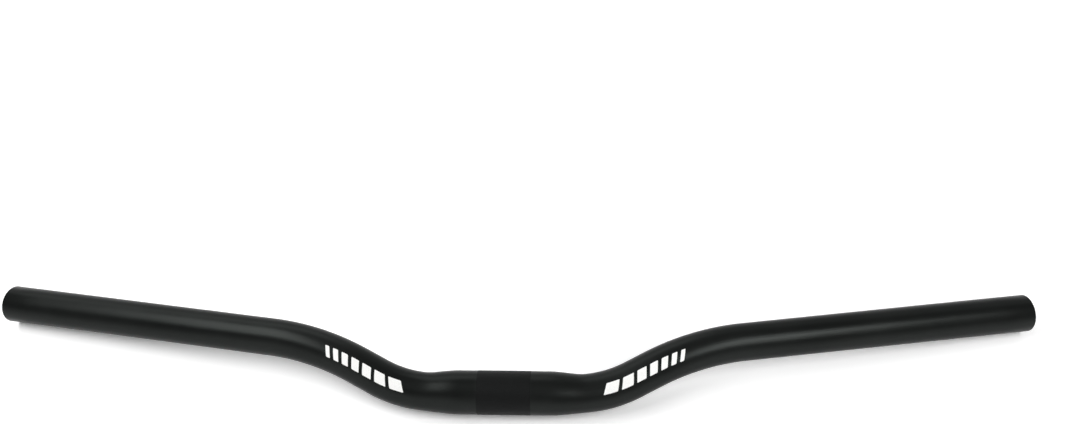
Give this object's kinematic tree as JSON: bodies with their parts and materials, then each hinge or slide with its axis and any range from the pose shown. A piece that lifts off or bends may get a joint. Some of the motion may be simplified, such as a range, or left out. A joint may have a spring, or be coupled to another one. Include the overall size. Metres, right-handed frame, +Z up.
{
  "type": "mountain bike handlebar",
  "caption": "Riser handlebar for a mountain bike: a bent black aluminium tube with a thicker knurled clamp section, sweeping up and back to open grip ends.",
  "frame": {"origin": "on the surface that the bar lies on, under the middle of its box", "axes": "+X along the clamp to the bar's right end, +Y level, from the clamp towards the grips, +Z up. The bar lies at rest, tipped forward 50.7 degrees from how it sits on a bicycle."},
  "size_m": [0.6338, 0.083, 0.0343],
  "materials": {
    "black_anodised_aluminium": "satin black anodised"
  },
  "bodies": {
    "root": {"handlebar": "black_anodised_aluminium"}
  },
  "joints": []
}
